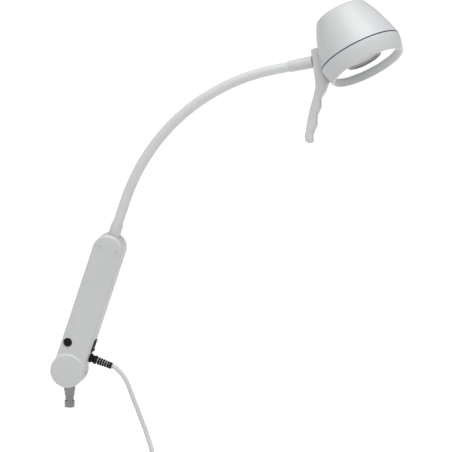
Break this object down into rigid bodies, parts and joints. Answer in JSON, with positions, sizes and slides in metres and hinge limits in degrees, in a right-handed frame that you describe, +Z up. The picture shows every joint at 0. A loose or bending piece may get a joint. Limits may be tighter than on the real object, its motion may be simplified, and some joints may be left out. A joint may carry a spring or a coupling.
{
  "type": "examination lamp",
  "caption": "Examination lamp: spigot mount, tilting control box with switches, flexible neck, swivelling reflector head with finger-grooved handle, mains lead and plug.",
  "frame": {"origin": "centre of the mounting spigot's lower end face", "axes": "+Z up along the spigot; -Y is the control box's front; the box and neck lean towards +X"},
  "size_m": [0.5608, 0.1321, 0.9754],
  "materials": {
    "housing_plastic": "light grey moulded ABS, fine satin texture",
    "neck_sleeve": "light grey extruded PVC sleeve, smooth satin",
    "steel_core": "spring steel neck core and fasteners, plain turned",
    "spigot_steel": "turned steel, lathe marks round the axis",
    "zinc": "die-cast zinc, dull grey",
    "lining": "friction lining, dark brown",
    "black_plastic": "black moulded polyamide, fine grain",
    "black_rubber": "black soft PVC boot and plug",
    "circuit_board": "green solder mask on glass-fibre board",
    "blue_trim": "dark blue moulded trim ring",
    "reflector_white": "high-gloss white moulded reflector",
    "pane": "clear flat safety pane",
    "aluminium": "extruded aluminium heat sink, clear anodised",
    "bush_plastic": "acetal bearing bush, natural",
    "lead_jacket": "light grey PVC lead jacket",
    "nickel": "nickel-plated brass pins"
  },
  "bodies": {
    "base": {"mounting_spigot": "spigot_steel", "pivot_tongue": "spigot_steel", "cord_coil": "lead_jacket", "cord_tie": "black_rubber", "cord_tail": "lead_jacket", "plug_body": "black_rubber", "plug_pin_left": "nickel", "plug_pin_right": "nickel"},
    "control_box": {"friction_washer_front": "lining", "friction_washer_rear": "lining", "hinge_cheek_front": "zinc", "hinge_cheek_rear": "zinc", "cheek_spacer": "zinc", "pivot_bolt": "steel_core", "disc_spring": "steel_core", "pivot_nut": "steel_core", "rear_shell": "housing_plastic", "front_cover": "housing_plastic", "neck_clamp": "zinc", "neck_collar": "housing_plastic", "clamp_screw_left": "housing_plastic", "clamp_screw_right": "housing_plastic", "housing_screw_lower": "steel_core", "housing_screw_upper": "steel_core", "driver_board": "circuit_board", "driver_transformer": "zinc", "button_collar": "black_plastic", "button_spring": "steel_core", "rocker_frame": "black_plastic", "strain_relief": "black_rubber", "neck_sleeve_root": "neck_sleeve", "neck_core_root": "steel_core", "cord_lead": "lead_jacket"},
    "dimmer_button": {"push_button": "black_plastic"},
    "mains_rocker": {"rocker_switch": "black_plastic"},
    "neck_link_1": {"neck_sleeve_1": "neck_sleeve", "neck_core_1": "steel_core"},
    "neck_link_2": {"neck_sleeve_2": "neck_sleeve", "neck_core_2": "steel_core"},
    "neck_link_3": {"neck_sleeve_3": "neck_sleeve", "neck_core_3": "steel_core"},
    "neck_link_4": {"neck_sleeve_4": "neck_sleeve", "neck_core_4": "steel_core"},
    "neck_link_5": {"neck_sleeve_5": "neck_sleeve", "neck_core_5": "steel_core"},
    "neck_link_6": {"neck_sleeve_6": "neck_sleeve", "neck_core_6": "steel_core", "neck_ferrule": "housing_plastic", "swivel_pin": "steel_core"},
    "head": {"swivel_bush": "bush_plastic", "handle_bracket": "housing_plastic", "head_shell": "housing_plastic", "trim_ring": "blue_trim", "head_bezel": "housing_plastic", "front_pane": "pane", "reflector": "reflector_white", "column_ring": "black_plastic", "light_column": "housing_plastic", "led_board": "circuit_board", "heat_sink": "aluminium"}
  },
  "joints": [
    {"name": "arm_tilt", "type": "hinge", "parent": "base", "child": "control_box", "pos_m": [0, 0, 0.0615], "axis": [0, 1, 0], "range_deg": [-78.3, 41.7], "deforming": ["cord_lead"]},
    {"name": "button_press", "type": "slide", "parent": "control_box", "child": "dimmer_button", "axis": [0, 1, 0], "range_m": [0, 0.0015], "stiffness_N_per_m": 300},
    {"name": "rocker_tip", "type": "hinge", "parent": "control_box", "child": "mains_rocker", "pos_m": [0.03501, 0.005, 0.10048], "axis": [0, 1, 0], "range_deg": [0, 12.8]},
    {"name": "neck_bend_1", "type": "hinge", "parent": "control_box", "child": "neck_link_1", "pos_m": [0.0876, 0, 0.32639], "axis": [0, 1, 0], "range_deg": [-25, 25]},
    {"name": "neck_side_2", "type": "hinge", "parent": "neck_link_1", "child": "neck_link_2", "pos_m": [0.11267, 0, 0.38734], "axis": [0.8842, 0, -0.4671], "range_deg": [-25, 25]},
    {"name": "neck_bend_3", "type": "hinge", "parent": "neck_link_2", "child": "neck_link_3", "pos_m": [0.14901, 0, 0.44231], "axis": [0, 1, 0], "range_deg": [-25, 25]},
    {"name": "neck_side_4", "type": "hinge", "parent": "neck_link_3", "child": "neck_link_4", "pos_m": [0.19539, 0, 0.48912], "axis": [0.638, 0, -0.77], "range_deg": [-25, 25]},
    {"name": "neck_bend_5", "type": "hinge", "parent": "neck_link_4", "child": "neck_link_5", "pos_m": [0.25001, 0, 0.52598], "axis": [0, 1, 0], "range_deg": [-25, 25]},
    {"name": "neck_side_6", "type": "hinge", "parent": "neck_link_5", "child": "neck_link_6", "pos_m": [0.31077, 0, 0.55147], "axis": [0.2946, 0, -0.9556], "range_deg": [-25, 25]},
    {"name": "head_swivel", "type": "hinge", "parent": "neck_link_6", "child": "head", "pos_m": [0.39256, 0, 0.57192], "axis": [0.972, 0, 0.2351], "range_deg": [-70.6, 109.4]}
  ]
}
